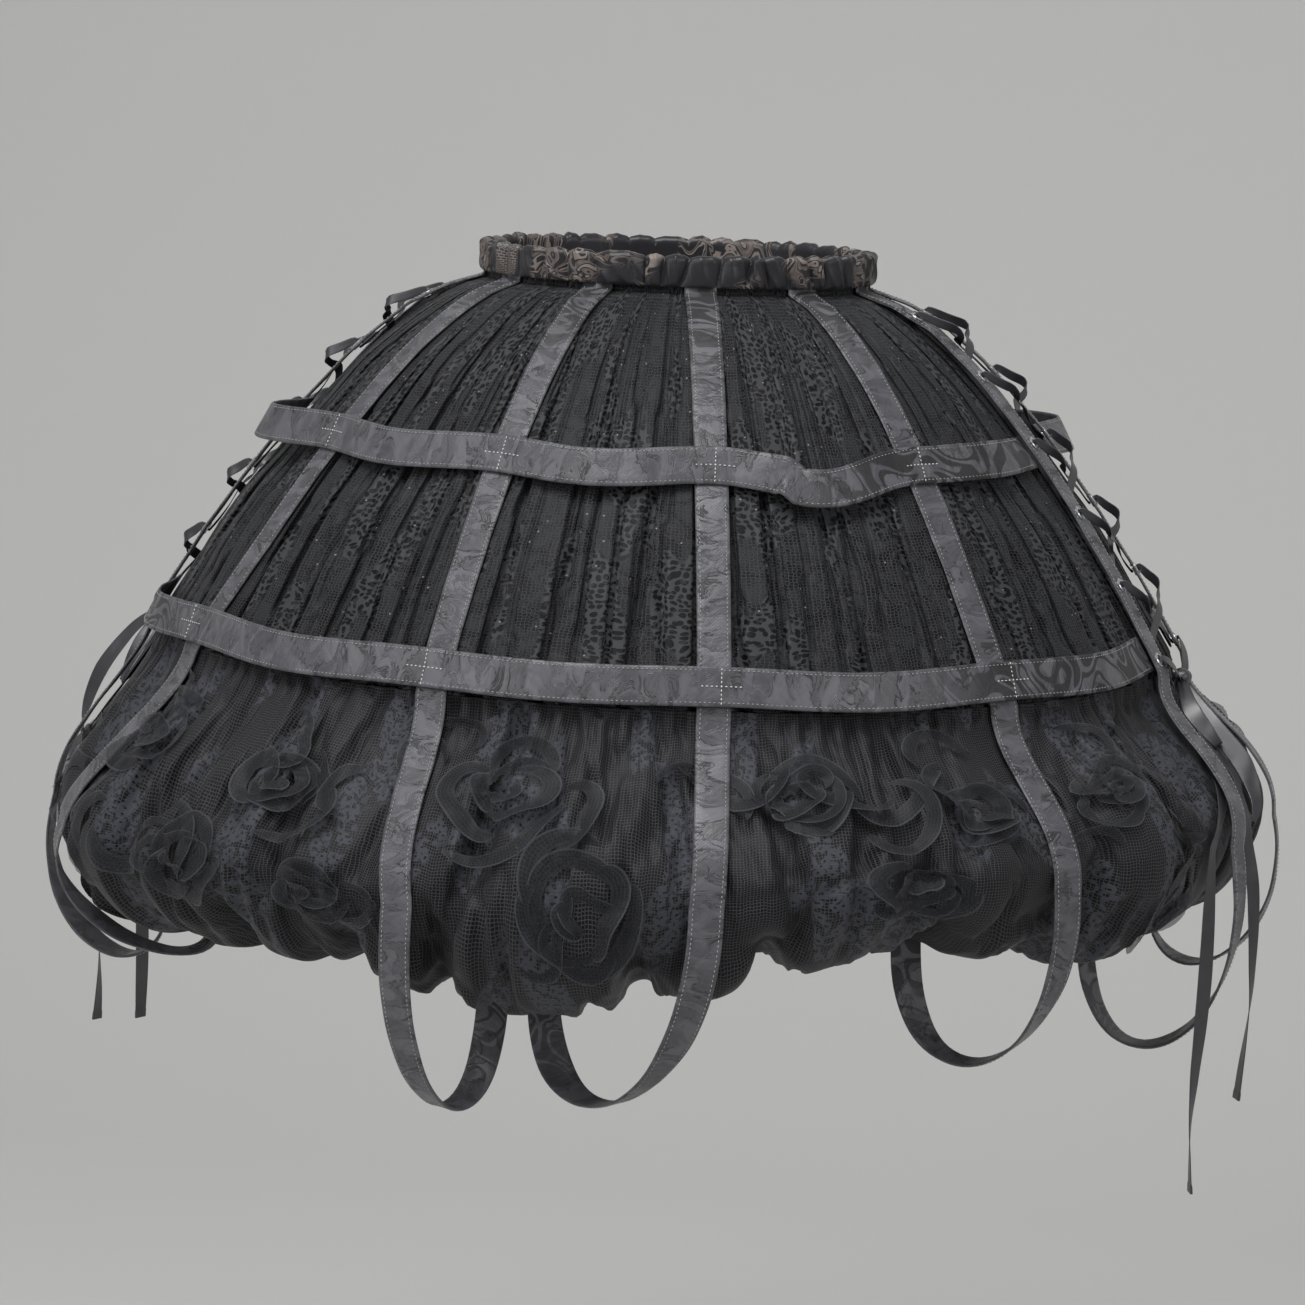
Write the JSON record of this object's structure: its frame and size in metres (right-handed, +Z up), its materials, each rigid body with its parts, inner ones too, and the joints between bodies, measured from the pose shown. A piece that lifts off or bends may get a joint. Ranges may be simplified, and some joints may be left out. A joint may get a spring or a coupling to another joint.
{
  "type": "cage skirt",
  "caption": "Black gathered lace skirt with a puffed tulle hem, worn under a laced cage of charcoal jacquard straps with hem loops, satin bows and ribbon tails",
  "frame": {"origin": "middle of the waist opening, halfway up the waist casing", "axes": "+Z is up along the waist's axis, -Y is the front of the skirt and +X is the wearer's left"},
  "size_m": [0.7723, 0.7159, 0.5421],
  "materials": {
    "brocade": "ruched brocade with brown metallic scrolls beside plain satin",
    "elastic": "woven elastic",
    "lining_cloth": "matt plain weave",
    "lace": "net lace with a floral motif",
    "tulle": "tulle over floral lace",
    "jacquard": "satin-faced jacquard with topstitched edges",
    "nickel": "polished nickel plate",
    "satin": "glossy satin ribbon"
  },
  "bodies": {
    "root": {"waist_casing": "brocade", "waist_elastic": "elastic", "lining": "lining_cloth", "lace_front": "lace", "lace_back": "lace", "tier_front": "tulle", "tier_back": "tulle", "rosettes_front": "tulle", "rosettes_back": "tulle", "strap_front_1": "jacquard", "strap_front_2": "jacquard", "strap_front_3": "jacquard", "strap_front_4": "jacquard", "strap_front_5": "jacquard", "strap_front_6": "jacquard", "strap_back_1": "jacquard", "strap_back_2": "jacquard", "strap_back_3": "jacquard", "strap_back_4": "jacquard", "strap_back_5": "jacquard", "strap_back_6": "jacquard", "band_front_upper": "jacquard", "band_front_lower": "jacquard", "band_back_upper": "jacquard", "band_back_lower": "jacquard", "eyelets_right_front": "nickel", "eyelets_right_back": "nickel", "eyelets_left_front": "nickel", "eyelets_left_back": "nickel", "lacing_right": "satin", "lacing_left": "satin", "bow_right": "satin", "bow_left": "satin", "tail_right_long": "satin", "tail_right_short": "satin", "tail_left_long": "satin", "tail_left_short": "satin"}
  },
  "joints": []
}
